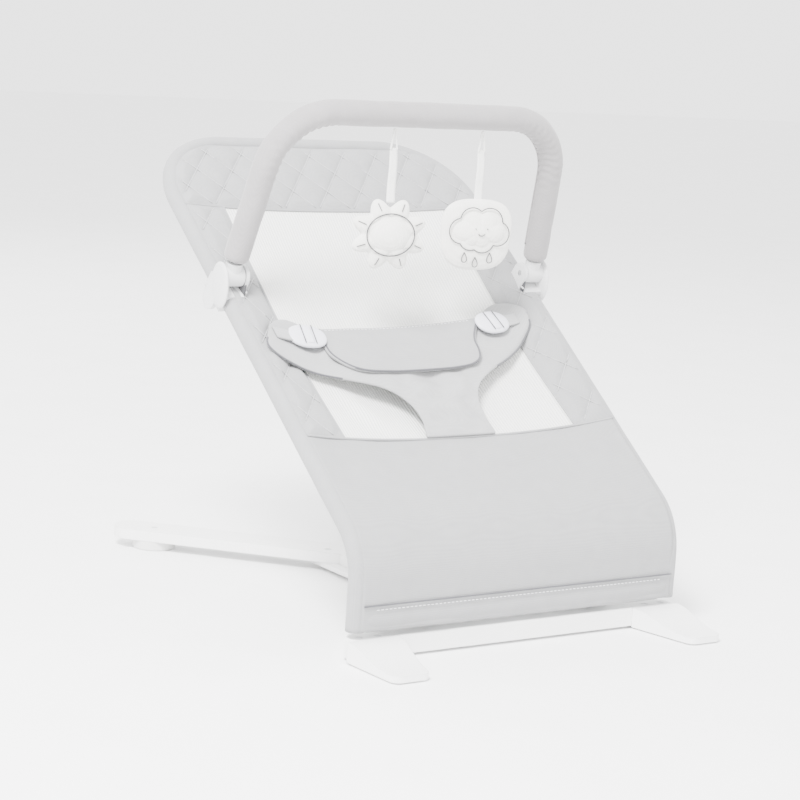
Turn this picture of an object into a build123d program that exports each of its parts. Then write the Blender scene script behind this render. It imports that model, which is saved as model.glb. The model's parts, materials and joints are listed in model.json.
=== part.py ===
from build123d import *
import math
import os

# Bouncer seat: a light tube frame in a fabric cover leans back from a low Y-shaped base.
# Millimetres, +Z up, -Y is the front where the feet go, +X is the seat's width.
# The origin is on the floor, in the middle of the plan.

# ---------------------------------------------------------------- driving dimensions
DEPTH = 618.0  # front of the feet to the back of the rear arms
RAIL_X = 199.0  # rail centre line, each side of the middle
RAIL_R = 8.0
BORE_R = 6.5
SLOPE = 36.7  # rise of the rails, degrees
KNEE_BACK, KNEE_Z = 88.0, 112.0  # corner where the rails would meet their front drop
KNEE_R = 65.0
HEM_Z = 40.0  # front cross tube
HEM_CORNER_R = 24.0
TUBE_JOINT_X = 150.0
RAIL_LENGTH = 505.0  # along the slope, from the knee corner to the head bow
HEAD_TOP = 599.0  # head bow's top, along the slope
HEAD_R = 94.0
CLOTH = 6.0  # thickness of a fabric panel
CLOTH_RISE = 6.0  # the cover runs over the rails, this far above their centre lines
GAP = 2.0

BAR_LEG = (-0.300, 0.954)  # direction of the toy bar's legs in Y and Z
BAR_HEIGHT = 188.0  # pivot to the bar's top, along the legs
BAR_TOP_X = 180.0  # the legs lean in towards each other
BAR_CORNER_R = 72.0
BAR_TUBE_R = 7.0
SLEEVE_R = 14.0
SLEEVE_START = 17.6
HUB_STUB = 16.0
CLIP_S = 362.0  # clip's place along the rail
PIVOT_RISE = 22.0  # bar pivot above the rail centre line
CLIP_PIN_R = 3.0
CLIP_HUB_R = 11.0

BASE_TOP = 23.0
BASE_UNDER = 3.0
PLATE_Z = 11.0  # underside of the rear plates
SPINE_W = 48.0
ARM_START = 400.0
PAD_X, PAD_BACK = 163.0, 576.0
PAD_R = 25.0
ARM_PAST_PAD = 24.0
HINGE_BACK, HINGE_Z = 132.0, 40.0
PIN_R = 4.0
RUN = 0.05  # radial clearance of a turning fit
SCREW_R = 2.0
SCREW_HEAD_R = 4.0


def back(distance):
    """Y of a point this far behind the front of the feet."""
    return distance - DEPTH / 2


RISE = math.radians(SLOPE)
SEAT = Plane(
    origin=(0, back(KNEE_BACK), KNEE_Z),
    x_dir=(1, 0, 0),
    z_dir=(0, -math.sin(RISE), math.cos(RISE)),
)
SIDES = {"left": -1, "right": 1}


def seat_point(x, along, above=0.0):
    """A point given by its place in the sloping plane of the rails."""
    return SEAT.from_local_coords(Vector(x, along, above))


def save(part, name):
    """Label a finished piece and write it."""
    part.label = name
    export_step(part, f"parts/{name}.step")


def cross_plane(x):
    """Plane across the seat at x, its local X along +Y and its local Y along +Z."""
    return Plane(origin=(x, 0, 0), x_dir=(0, 1, 0), z_dir=(1, 0, 0))


os.makedirs("parts", exist_ok=True)

# ---------------------------------------------------------------- base
arm_angle = math.degrees(math.atan2(PAD_BACK - ARM_START, PAD_X))
arm_to_pad = math.hypot(PAD_X, PAD_BACK - ARM_START)
pads = {side: (sign * PAD_X, back(PAD_BACK)) for side, sign in SIDES.items()}
hub_screws = [(0, back(340)), (-24, back(415)), (24, back(415))]
foot_screws = [(sign * x, back(87)) for sign in (-1, 1) for x in (172, 194)]


def arm_plan(sign):
    """Plan of one rear arm: a straight bar with a round end, cut at the middle line."""
    with BuildSketch(mode=Mode.PRIVATE) as plan:
        with BuildLine():
            reach = arm_to_pad + ARM_PAST_PAD
            direction = Vector(sign * PAD_X, PAD_BACK - ARM_START).normalized()
            start = Vector(0, back(ARM_START))
            Line(start - direction * 60, start + direction * reach)
        trace(line_width=SPINE_W)
        with Locations((sign * 400, 0)):
            Rectangle(800, 1400, mode=Mode.INTERSECT)
    return plan.sketch


with BuildPart() as front_crossbar:
    with BuildSketch(Plane.XY.offset(BASE_UNDER)):
        with BuildLine():
            Polyline(
                (-207, back(80)), (207, back(80)), (207, back(93)), (160, back(146)),
                (-160, back(146)), (-207, back(93)), close=True,
            )
        make_face()
    extrude(amount=BASE_TOP - BASE_UNDER)
    fillet(front_crossbar.edges().filter_by(Axis.Z), 5)
    fillet(front_crossbar.faces().sort_by(Axis.Z)[-1].edges(), 2.5)
    with Locations(Plane.XY.offset(BASE_TOP)):
        with Locations(*foot_screws):
            CounterBoreHole(SCREW_R, SCREW_HEAD_R, 3)
save(front_crossbar.part, "front_crossbar")

for side, sign in SIDES.items():
    with BuildPart() as foot:
        with BuildSketch(Plane.XY.offset(1.5)):
            with BuildLine():
                Polyline(
                    (sign * 166, back(0)), (sign * 208, back(0)), (sign * 212, back(79.9)),
                    (sign * 150, back(79.9)), close=True,
                )
            make_face()
        extrude(amount=22)
        fillet(foot.edges().filter_by(Axis.Z).group_by(Axis.Y)[0], 10)
        with BuildSketch(cross_plane(140 if sign > 0 else -220)):
            with BuildLine():
                Polyline((back(80), 1.5), (back(-1), 1.5), (back(-1), 8), close=False)
                Spline(
                    (back(-1), 8), (back(30), 11), (back(62), 20.5), (back(80), 22.5),
                    tangents=((1, 0.05), (1, 0.02)),
                )
                Line((back(80), 22.5), (back(80), 1.5))
            make_face()
        extrude(amount=80, mode=Mode.INTERSECT)
    save(foot.part, f"front_foot_{side}")
    with BuildPart() as grip:
        with BuildSketch(Plane.XY) as grip_plan:
            with BuildLine():
                Polyline(
                    (sign * 169, back(4)), (sign * 205, back(4)), (sign * 208, back(74)),
                    (sign * 158, back(74)), close=True,
                )
            make_face()
            fillet(grip_plan.vertices(), 6)
        extrude(amount=1.5)
    save(grip.part, f"front_grip_{side}")

with BuildPart() as base_spine:
    with BuildSketch(Plane.XY.offset(PLATE_Z)):
        with Locations((0, back(146))):
            Rectangle(SPINE_W, 260, align=(Align.CENTER, Align.MIN))
        add(arm_plan(-1), mode=Mode.SUBTRACT)
        add(arm_plan(1), mode=Mode.SUBTRACT)
    extrude(amount=BASE_TOP - PLATE_Z)
    with Locations(Plane.XY.offset(BASE_TOP)):
        with Locations(hub_screws[0]):
            CounterBoreHole(SCREW_R, SCREW_HEAD_R, 3)
save(base_spine.part, "base_spine")

with BuildPart() as hub_plate:
    with BuildSketch(Plane.XY.offset(5)):
        with Locations((0, back(375))):
            RectangleRounded(72, 120, 10)
    extrude(amount=PLATE_Z - 5)
    with Locations(Plane.XY.offset(PLATE_Z)):
        with Locations(*hub_screws):
            Hole(SCREW_R)
save(hub_plate.part, "hub_plate")

for side, sign in SIDES.items():
    with BuildPart() as arm:
        with BuildSketch(Plane.XY.offset(PLATE_Z)):
            add(arm_plan(sign))
            with Locations(pads[side]):
                Circle(SPINE_W / 2)
            end = Vector(sign * PAD_X, PAD_BACK - ARM_START).normalized() * ARM_PAST_PAD
            with Locations((pads[side][0] + end.X, pads[side][1] + end.Y)):
                Circle(SPINE_W / 2)
        extrude(amount=BASE_TOP - PLATE_Z)
        with Locations(Plane.XY.offset(BASE_TOP)):
            with Locations(pads[side], hub_screws[1 if sign < 0 else 2]):
                CounterBoreHole(SCREW_R, SCREW_HEAD_R, 3)
    save(arm.part, f"rear_arm_{side}")
    with BuildPart() as pad:
        with BuildSketch(Plane.XY):
            with Locations(pads[side]):
                Circle(PAD_R)
        extrude(amount=PLATE_Z)
        fillet(pad.edges().sort_by(Axis.Z)[0], 2)
        with Locations(Plane.XY.offset(PLATE_Z)):
            with Locations(pads[side]):
                Hole(SCREW_R, depth=7)
    save(pad.part, f"rear_pad_{side}")


def screw_group(name, places, length):
    """Cheese-head screws standing in counterbores, heads level with the base's top."""
    with BuildPart() as group:
        with BuildSketch(Plane.XY.offset(BASE_TOP - 3)):
            with Locations(*places):
                Circle(SCREW_HEAD_R)
        extrude(amount=2.5)
        with BuildSketch(Plane.XY.offset(BASE_TOP - 3)):
            with Locations(*places):
                Circle(SCREW_R)
        extrude(amount=-length)
    save(group.part, name)


screw_group("foot_screws", foot_screws, BASE_TOP - 3 - BASE_UNDER - 1)
screw_group("hub_screws", hub_screws, 14)
screw_group("pad_screws", list(pads.values()), 15)

# ---------------------------------------------------------------- recline hinge
hinge = (back(HINGE_BACK), HINGE_Z)
for side, sign in SIDES.items():
    with BuildPart() as bracket:
        with BuildSketch(cross_plane(138 if sign > 0 else -146)):
            with Locations((hinge[0], (BASE_TOP + HINGE_Z) / 2)):
                Rectangle(24, HINGE_Z - BASE_TOP)
            with Locations(hinge):
                Circle(12)
                Circle(PIN_R, mode=Mode.SUBTRACT)
        extrude(amount=8)
    save(bracket.part, f"hinge_bracket_{side}")
    with BuildPart() as sector:
        with BuildSketch(cross_plane(124 if sign > 0 else -130)):
            with Locations(hinge):
                Circle(13.8)
                Circle(9, mode=Mode.SUBTRACT)
            with Locations(Plane.XY.shift_origin((hinge[0], hinge[1], 0))):
                with PolarLocations(13.8, 4, start_angle=-80, angular_range=60):
                    Circle(1.2, mode=Mode.SUBTRACT)
        extrude(amount=6)
    save(sector.part, f"hub_sector_{side}")

with BuildPart() as pivot_pins:
    for sign in SIDES.values():
        with BuildSketch(cross_plane(sign * 112)):
            with Locations(hinge):
                Circle(PIN_R)
        extrude(amount=sign * 34)
        with BuildSketch(cross_plane(sign * 146)):
            with Locations(hinge):
                Circle(7)
        extrude(amount=sign * 3)
    fillet(pivot_pins.edges().group_by(Axis.X)[0] + pivot_pins.edges().group_by(Axis.X)[-1], 1.5)
save(pivot_pins.part, "pivot_pins")

with BuildPart() as detent_springs:
    for start_x in (124, -130):
        with BuildSketch(cross_plane(start_x)):
            with Locations((hinge[0], BASE_TOP)):
                Rectangle(8, 2.7, align=(Align.CENTER, Align.MIN))
            with Locations((hinge[0] + 12, BASE_TOP)):
                Rectangle(20, 1.5, align=(Align.CENTER, Align.MIN))
        extrude(amount=6)
save(detent_springs.part, "detent_springs")

with BuildPart() as torque_tube:
    with BuildSketch(cross_plane(-137)):
        with Locations(hinge):
            Circle(9)
            Circle(PIN_R + RUN, mode=Mode.SUBTRACT)
    extrude(amount=274)
save(torque_tube.part, "torque_tube")

hem = (back(KNEE_BACK), HEM_Z)
for side, sign in SIDES.items():
    with BuildPart() as yoke:
        with BuildSketch(cross_plane(100 if sign > 0 else -112)):
            with Locations(hinge):
                Circle(14)
            with Locations(hem):
                Circle(11)
            with Locations(((hinge[0] + hem[0]) / 2, (HINGE_Z + HEM_Z) / 2)):
                Rectangle(HINGE_BACK - KNEE_BACK, 18)
            with Locations(hinge):
                Circle(9 + RUN, mode=Mode.SUBTRACT)
            with Locations(hem):
                Circle(RAIL_R, mode=Mode.SUBTRACT)
        extrude(amount=12)
    save(yoke.part, f"seat_yoke_{side}")

# ---------------------------------------------------------------- seat frame
for side, sign in SIDES.items():
    with BuildPart() as rail:
        with BuildLine() as rail_path:
            FilletPolyline(
                seat_point(sign * RAIL_X, RAIL_LENGTH),
                (sign * RAIL_X, back(KNEE_BACK), KNEE_Z),
                (sign * RAIL_X, back(KNEE_BACK), HEM_Z),
                (sign * TUBE_JOINT_X, back(KNEE_BACK), HEM_Z),
                radius=[KNEE_R, HEM_CORNER_R],
            )
        with BuildSketch(Plane(rail_path.line @ 0, z_dir=rail_path.line % 0)):
            Circle(RAIL_R)
            Circle(BORE_R, mode=Mode.SUBTRACT)
        sweep()
    save(rail.part, f"seat_rail_{side}")

with BuildPart() as head_bow:
    with BuildLine() as bow_path:
        FilletPolyline(
            seat_point(-RAIL_X, RAIL_LENGTH),
            seat_point(-RAIL_X, HEAD_TOP),
            seat_point(RAIL_X, HEAD_TOP),
            seat_point(RAIL_X, RAIL_LENGTH),
            radius=[HEAD_R - 1, HEAD_R - 1],
        )
    with BuildSketch(Plane(bow_path.line @ 0, z_dir=bow_path.line % 0)):
        Circle(RAIL_R)
        Circle(BORE_R, mode=Mode.SUBTRACT)
    sweep()
save(head_bow.part, "head_bow")

with BuildPart() as front_cross_tube:
    with BuildSketch(cross_plane(-TUBE_JOINT_X)):
        with Locations(hem):
            Circle(RAIL_R)
            Circle(BORE_R, mode=Mode.SUBTRACT)
    extrude(amount=2 * TUBE_JOINT_X)
save(front_cross_tube.part, "front_cross_tube")

with BuildPart() as tube_spigots:
    for sign in SIDES.values():
        with BuildSketch(Plane(seat_point(sign * RAIL_X, RAIL_LENGTH - 40), z_dir=SEAT.y_dir)):
            Circle(BORE_R)
        extrude(amount=40)
        with BuildSketch(cross_plane(sign * (TUBE_JOINT_X - 25))):
            with Locations(hem):
                Circle(BORE_R)
        extrude(amount=sign * 45)
save(tube_spigots.part, "tube_spigots")

# ---------------------------------------------------------------- cover
INNER = RAIL_X - RAIL_R - GAP  # half width between the rails
SEAM_HEAD, SEAM_LOW = 488.0, 143.0
PANEL_X = 150.0
MESH_SAG = 18.0

with BuildPart() as head_panel:
    with BuildSketch(SEAT.offset(CLOTH_RISE - CLOTH / 2)):
        with BuildLine():
            top = HEAD_TOP - RAIL_R - GAP
            FilletPolyline(
                (-INNER, SEAM_HEAD), (-INNER, top), (INNER, top), (INNER, SEAM_HEAD),
                radius=[HEAD_R - RAIL_R - GAP - 1, HEAD_R - RAIL_R - GAP - 1],
            )
            Line((INNER, SEAM_HEAD), (-INNER, SEAM_HEAD))
        make_face()
    extrude(amount=CLOTH)
save(head_panel.part, "head_panel")

for side, sign in SIDES.items():
    with BuildPart() as panel:
        with BuildSketch(SEAT.offset(CLOTH_RISE - CLOTH / 2)):
            with Locations((sign * (PANEL_X + INNER) / 2, (SEAM_LOW + SEAM_HEAD) / 2)):
                Rectangle(INNER - PANEL_X, SEAM_HEAD - SEAM_LOW - 1)
            with Locations((sign * INNER, CLIP_S)):
                Rectangle(16, 44, mode=Mode.SUBTRACT)
        extrude(amount=CLOTH)
    save(panel.part, f"side_panel_{side}")

with BuildPart() as mesh_insert:
    across = Plane(seat_point(0, SEAM_LOW + 0.5, CLOTH_RISE), x_dir=(1, 0, 0), z_dir=SEAT.y_dir)
    with BuildSketch(across):
        with BuildLine():
            half = PANEL_X - 0.5
            ThreePointArc((-half, -2), (0, MESH_SAG - 2), (half, -2))
            Line((half, -2), (half, 2))
            ThreePointArc((half, 2), (0, MESH_SAG + 2), (-half, 2))
            Line((-half, 2), (-half, -2))
        make_face()
    extrude(amount=SEAM_HEAD - SEAM_LOW - 1)
save(mesh_insert.part, "mesh_insert")

with BuildPart() as lower_panel:
    with BuildSketch(cross_plane(-INNER)):
        with BuildLine():
            start = seat_point(0, SEAM_LOW - 1, CLOTH_RISE)
            corner_rise = CLOTH_RISE * math.tan((math.pi / 2 - RISE) / 2)
            corner = seat_point(0, -corner_rise, CLOTH_RISE)
            FilletPolyline(
                (start.Y, start.Z), (corner.Y, corner.Z), (corner.Y, HEM_Z + 16),
                radius=[KNEE_R + CLOTH_RISE],
            )
        trace(line_width=CLOTH)
    extrude(amount=2 * INNER)
save(lower_panel.part, "lower_panel")

with BuildPart() as hem_sleeve:
    with BuildSketch(cross_plane(-170)):
        with Locations(hem):
            Circle(13)
            Circle(11.3, mode=Mode.SUBTRACT)
    extrude(amount=340)
    for sign in (-1, 1):
        with Locations((sign * 106, hem[0] + 20, HEM_Z)):
            Box(16, 32, 40, mode=Mode.SUBTRACT)
save(hem_sleeve.part, "hem_sleeve")

# crotch panel, its narrow tail down to the seam, leg wings and waist straps
PANEL_LOW = 4.0  # the layers lie on the seat, each a little above the one below
WING_LOW, TONGUE_LOW, BUCKLE_LOW = 9.5, 12.5, 16.0
BUCKLE_X, BUCKLE_S = 126.0, 291.0
with BuildPart() as crotch_panel:
    with BuildSketch(SEAT.offset(PANEL_LOW)):
        with Locations((0, 268)):
            RectangleRounded(196, 78, 30)
    extrude(amount=7)
save(crotch_panel.part, "crotch_panel")

with BuildPart() as crotch_tail:
    with BuildSketch(SEAT.offset(PANEL_LOW - 8)):
        with BuildLine():
            Polyline((-62, SEAM_LOW + 4), (62, SEAM_LOW + 4), (74, 226), (-74, 226), close=True)
        make_face()
    extrude(amount=6)
for side, sign in SIDES.items():
    with BuildPart() as wing:
        with BuildSketch(SEAT.offset(WING_LOW)):
            with BuildLine():
                Polyline(
                    (sign * 99, 250), (sign * 128, 262), (sign * 172, 292), (sign * 178, 312),
                    (sign * 172, 318), (sign * 160, 314), (sign * 99, 276), close=True,
                )
            make_face()
        extrude(amount=2.5)
    save(wing.part, f"leg_wing_{side}")
    with BuildPart() as buckle:
        with BuildSketch(SEAT.offset(BUCKLE_LOW)):
            with Locations((sign * BUCKLE_X, BUCKLE_S)):
                Ellipse(24, 17)
        extrude(amount=6)
        with BuildSketch(SEAT.offset(BUCKLE_LOW)):
            with Locations((sign * BUCKLE_X, BUCKLE_S)):
                SlotOverall(30, 10)
        extrude(amount=6, mode=Mode.SUBTRACT)
    save(buckle.part, f"buckle_cover_{side}")
    with BuildPart() as button:
        with BuildSketch(SEAT.offset(BUCKLE_LOW + 2.2)):
            with Locations((sign * BUCKLE_X, BUCKLE_S)):
                SlotOverall(29.4, 9.4)
        extrude(amount=4.3)
    save(button.part, f"buckle_button_{side}")
    with BuildPart() as tongue:
        with BuildSketch(SEAT.offset(TONGUE_LOW)):
            with Locations((sign * BUCKLE_X, BUCKLE_S)):
                Rectangle(40, 20)
        extrude(amount=3.5)
    save(tongue.part, f"buckle_tongue_{side}")
    with BuildPart() as strap:
        with BuildSketch(SEAT.offset(TONGUE_LOW)):
            with Locations((sign * 160.5, BUCKLE_S)):
                Rectangle(28, 16)
        extrude(amount=3)
    save(strap.part, f"waist_strap_{side}")
save(crotch_tail.part, "crotch_tail")

# ---------------------------------------------------------------- toy bar clips
clip_rail = seat_point(0, CLIP_S)
clip_pivot = seat_point(0, CLIP_S, PIVOT_RISE)
clip_low = seat_point(0, CLIP_S, -10)
for side, sign in SIDES.items():
    x = sign * RAIL_X
    with BuildPart() as clip:
        with BuildSketch(Plane(seat_point(x, CLIP_S - 20), x_dir=(1, 0, 0), z_dir=SEAT.y_dir)):
            Rectangle(24, 21)
            Circle(RAIL_R, mode=Mode.SUBTRACT)
        extrude(amount=40)
        for face_x in (x - 16, x + 12):
            with BuildSketch(cross_plane(face_x)):
                with BuildLine():
                    Line((clip_low.Y, clip_low.Z), (clip_pivot.Y, clip_pivot.Z))
                trace(line_width=24)
                with Locations((clip_low.Y, clip_low.Z), (clip_pivot.Y, clip_pivot.Z)):
                    Circle(12)
                with Locations((clip_pivot.Y, clip_pivot.Z)):
                    Circle(CLIP_PIN_R, mode=Mode.SUBTRACT)
            extrude(amount=4)
    save(clip.part, f"toy_clip_{side}")

with BuildPart() as clip_pins:
    for sign in SIDES.values():
        with BuildSketch(cross_plane(sign * RAIL_X - 16)):
            with Locations((clip_pivot.Y, clip_pivot.Z)):
                Circle(CLIP_PIN_R)
        extrude(amount=32)
save(clip_pins.part, "clip_pins")

# ---------------------------------------------------------------- toy bar
LEG = Vector(0, *BAR_LEG).normalized()


def bar_point(x, up):
    """A point in the plane of the toy bar, measured up from its pivots."""
    return Vector(x, clip_pivot.Y, clip_pivot.Z) + LEG * up


with BuildLine() as bar_line:
    FilletPolyline(
        bar_point(-RAIL_X, SLEEVE_START), bar_point(-BAR_TOP_X, BAR_HEIGHT),
        bar_point(BAR_TOP_X, BAR_HEIGHT), bar_point(RAIL_X, SLEEVE_START),
        radius=[BAR_CORNER_R, BAR_CORNER_R],
    )

with BuildPart() as toy_bar_tube:
    with BuildSketch(Plane(bar_line.line @ 0, z_dir=bar_line.line % 0)):
        Circle(BAR_TUBE_R)
    sweep(path=bar_line.line)
save(toy_bar_tube.part, "toy_bar_tube")

with BuildPart() as toy_bar_sleeve:
    with BuildSketch(Plane(bar_line.line @ 0, z_dir=bar_line.line % 0)):
        Circle(SLEEVE_R)
        Circle(BAR_TUBE_R, mode=Mode.SUBTRACT)
    sweep(path=bar_line.line)
save(toy_bar_sleeve.part, "toy_bar_sleeve")

for side, sign in SIDES.items():
    with BuildPart() as bar_hub:
        with BuildSketch(cross_plane(sign * RAIL_X - 11)):
            with Locations((clip_pivot.Y, clip_pivot.Z)):
                Circle(CLIP_HUB_R)
        extrude(amount=22)
        with BuildSketch(Plane(bar_point(sign * RAIL_X, 0), z_dir=LEG)):
            Circle(9)
        extrude(amount=HUB_STUB)
        with BuildSketch(cross_plane(sign * RAIL_X - 12)):
            with Locations((clip_pivot.Y, clip_pivot.Z)):
                Circle(CLIP_PIN_R + RUN)
        extrude(amount=24, mode=Mode.SUBTRACT)
    save(bar_hub.part, f"bar_hub_{side}")

# ---------------------------------------------------------------- toys
TOY_TOP = bar_point(0, BAR_HEIGHT)
TOY_Z = 397.0
TOY_THICK = 16.0
TOYS = {"sun": -40.0, "cloud": 76.0}
TOY_HALF = 38.0
HANG_GAP = 1.5  # below the sleeve, where each toy's loop is sewn on
LOOP_LENGTH = 20.0
RIBBON_W, RIBBON_T = 10.0, 1.6
loop_top = TOY_TOP.Z - SLEEVE_R - HANG_GAP
ribbon_low = TOY_Z + TOY_HALF - 4

for toy, toy_x in TOYS.items():
    with BuildPart() as loop:
        with BuildSketch(Plane(origin=(toy_x, TOY_TOP.Y, loop_top), x_dir=(1, 0, 0), z_dir=(0, -1, 0))):
            with BuildLine():
                Polyline((-1, 0), (1, 0), (5, -LOOP_LENGTH), (-5, -LOOP_LENGTH), close=True)
            make_face()
            with BuildLine():
                Polyline((0, -5), (2.4, -LOOP_LENGTH + 3), (-2.4, -LOOP_LENGTH + 3), close=True)
            make_face(mode=Mode.SUBTRACT)
        extrude(amount=RIBBON_T / 2, both=True)
    save(loop.part, f"{toy}_loop")
    with BuildPart() as ribbon:
        with Locations((toy_x, TOY_TOP.Y, ribbon_low)):
            Box(
                RIBBON_W, RIBBON_T, loop_top - LOOP_LENGTH - ribbon_low,
                align=(Align.CENTER, Align.CENTER, Align.MIN),
            )
    save(ribbon.part, f"{toy}_ribbon")

facing = Plane(origin=(0, TOY_TOP.Y + TOY_THICK / 2, TOY_Z), x_dir=(1, 0, 0), z_dir=(0, -1, 0))


def ribbon_pocket(toy_x):
    """The slot in a toy's top edge that its ribbon is sewn into."""
    with Locations((toy_x, TOY_TOP.Y, ribbon_low)):
        Box(
            RIBBON_W + 0.4, RIBBON_T + 0.4, 14,
            align=(Align.CENTER, Align.CENTER, Align.MIN), mode=Mode.SUBTRACT,
        )


with BuildPart() as sun_toy:
    with BuildSketch(facing):
        with Locations((TOYS["sun"], 0)):
            Circle(34)
        with Locations(Location((TOYS["sun"], 0))):
            with PolarLocations(31, 8, start_angle=22.5):
                RectangleRounded(22, 21, 7)
    extrude(amount=TOY_THICK)
    ribbon_pocket(TOYS["sun"])
save(sun_toy.part, "sun_toy")

with BuildPart() as cloud_toy:
    with BuildSketch(facing):
        with Locations((TOYS["cloud"], 0)):
            RectangleRounded(78, 76, 28)
    extrude(amount=TOY_THICK)
    ribbon_pocket(TOYS["cloud"])
save(cloud_toy.part, "cloud_toy")
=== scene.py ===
import bmesh
import bpy
import json
import math
from mathutils import Matrix, Vector, noise


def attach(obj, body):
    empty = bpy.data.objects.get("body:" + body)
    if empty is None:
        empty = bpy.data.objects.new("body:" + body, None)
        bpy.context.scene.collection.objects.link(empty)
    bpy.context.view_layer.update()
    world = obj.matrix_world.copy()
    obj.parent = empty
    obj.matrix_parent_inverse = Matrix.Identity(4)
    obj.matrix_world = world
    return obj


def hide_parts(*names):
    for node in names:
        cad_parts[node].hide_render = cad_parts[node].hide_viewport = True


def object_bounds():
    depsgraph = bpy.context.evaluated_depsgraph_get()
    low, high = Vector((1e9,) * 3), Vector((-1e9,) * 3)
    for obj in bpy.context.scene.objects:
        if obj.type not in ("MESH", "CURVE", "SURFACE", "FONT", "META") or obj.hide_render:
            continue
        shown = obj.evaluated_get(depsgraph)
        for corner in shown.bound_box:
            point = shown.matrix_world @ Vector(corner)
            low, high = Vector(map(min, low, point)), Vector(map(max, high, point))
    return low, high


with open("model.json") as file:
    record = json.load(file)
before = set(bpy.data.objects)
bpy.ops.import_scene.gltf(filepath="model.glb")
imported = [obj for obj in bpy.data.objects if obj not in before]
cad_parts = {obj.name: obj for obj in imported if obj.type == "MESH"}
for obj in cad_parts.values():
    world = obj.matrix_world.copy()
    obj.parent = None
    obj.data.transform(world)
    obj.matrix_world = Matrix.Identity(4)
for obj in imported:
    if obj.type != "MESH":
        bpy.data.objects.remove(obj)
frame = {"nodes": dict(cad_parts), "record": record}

CAD_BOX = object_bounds()

# ---------------------------------------------------------------- dimensions, metres
FRONT = CAD_BOX[0][1]  # front of the feet
RISE = math.radians(36.7)  # slope of the rails
RAIL_X = 0.199
SLEEVE_R = 0.0098  # cover's sleeve round the rails
KNEE = Vector((0, FRONT + 0.088, 0.112))
KNEE_R = 0.065
HEM_Z = 0.040
UP = Vector((0, math.cos(RISE), math.sin(RISE)))  # up the slope
OUT = Vector((0, -math.sin(RISE), math.cos(RISE)))  # out of the seat
SEAM_LOW, SEAM_HEAD, HEAD_TOP = 0.143, 0.488, 0.599  # along the slope
HEAD_R = 0.093
PANEL_X = 0.150  # inner edge of the quilted side panels
EDGE_X = 0.1985  # where the panels run over the rails
EDGE_RISE = 0.0086  # the cover's height over the rails' centre lines there
BUCKLES = {"left": (-0.135, 0.283), "right": (0.118, 0.299)}  # the worn straps hang unevenly
CLIP_S, CLIP_RISE = 0.362, 0.022
BAR_LEG = Vector((0, -0.300, 0.954)).normalized()
BAR_HEIGHT, BAR_TOP_X, BAR_CORNER, BAR_R = 0.188, 0.180, 0.072, 0.0140
TOY_Z = 0.397
SUN_X, CLOUD_X = -0.040, 0.076

TURN = math.pi / 2 - RISE  # how far the rails bend at the knee
TANGENT = KNEE_R * math.tan(TURN / 2)


# ---------------------------------------------------------------- small geometry helpers
def lerp(a, b, t):
    return a + (b - a) * t


def smoothstep(low, high, x):
    t = min(1.0, max(0.0, (x - low) / (high - low)))
    return t * t * (3 - 2 * t)


def curve_through(points, x):
    """Value at x of a smooth line through (x, value) points."""
    if x <= points[0][0]:
        return points[0][1]
    if x >= points[-1][0]:
        return points[-1][1]
    i = max(k for k in range(len(points) - 1) if points[k][0] <= x)

    def slope(k):
        if k == 0 or k == len(points) - 1:
            return 0.0
        (xa, ya), (xb, yb) = points[k - 1], points[k + 1]
        return (yb - ya) / (xb - xa)

    (xa, ya), (xb, yb) = points[i], points[i + 1]
    span = xb - xa
    t = (x - xa) / span
    return (
        (1 + 2 * t) * (1 - t) ** 2 * ya + t * (1 - t) ** 2 * span * slope(i)
        + t * t * (3 - 2 * t) * yb - t * t * (1 - t) * span * slope(i + 1)
    )


def ripple(p, scale, seed=0.0):
    """Smooth noise from -1 to 1 that varies over about one scale length."""
    return noise.noise(Vector(p) / scale + Vector((seed, 7.3 * seed, 3.1)))


def profile(s):
    """Point and outward normal of the cover's middle line; s is metres up the slope from the knee."""
    if s >= TANGENT:
        return KNEE + UP * s, OUT
    arc_length = KNEE_R * TURN
    start = KNEE + UP * TANGENT
    centre = start - OUT * KNEE_R
    down = TANGENT - s
    if down <= arc_length:
        angle = down / KNEE_R
        normal = OUT * math.cos(angle) - UP * math.sin(angle)
        return centre + normal * KNEE_R, normal
    normal = Vector((0, -1, 0))
    return centre + normal * KNEE_R - Vector((0, 0, down - arc_length)), normal


def on_seat(x, s, n=0.0):
    point, normal = profile(s)
    return Vector((x, point.y, point.z)) + normal * n


SAG = [
    (-0.03, 0.0), (0.05, 0.004), (SEAM_LOW, 0.018), (0.27, 0.032),
    (0.40, 0.023), (SEAM_HEAD, 0.010), (0.6, 0.004),
]


def sag(x, s):
    """Height of the cover over the rails' plane: level with their tops at the sides, hanging between."""
    side = min(1.0, abs(x) / EDGE_X)
    return EDGE_RISE - curve_through(SAG, s) * (1 - side**2.4)


# ---------------------------------------------------------------- mesh makers
def make(name, verts, faces, material, body, levels=0):
    mesh = bpy.data.meshes.new(name)
    mesh.from_pydata([tuple(v) for v in verts], [], faces)
    mesh.validate()
    outward = bmesh.new()
    outward.from_mesh(mesh)
    bmesh.ops.recalc_face_normals(outward, faces=outward.faces)
    outward.to_mesh(mesh)
    outward.free()
    mesh.update()
    piece = bpy.data.objects.new(name, mesh)
    bpy.context.scene.collection.objects.link(piece)
    mesh.materials.append(material)
    for polygon in mesh.polygons:
        polygon.use_smooth = True
    if levels:
        modifier = piece.modifiers.new("smooth", "SUBSURF")
        modifier.levels = modifier.render_levels = levels
    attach(piece, body)
    return piece


def grid_faces(rows, columns, wrap=False, first=0, flip=False):
    faces = []
    for i in range(rows - 1):
        for j in range(columns if wrap else columns - 1):
            k = (j + 1) % columns
            quad = [first + i * columns + j, first + i * columns + k,
                    first + (i + 1) * columns + k, first + (i + 1) * columns + j]
            faces.append(quad[::-1] if flip else quad)
    return faces


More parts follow.
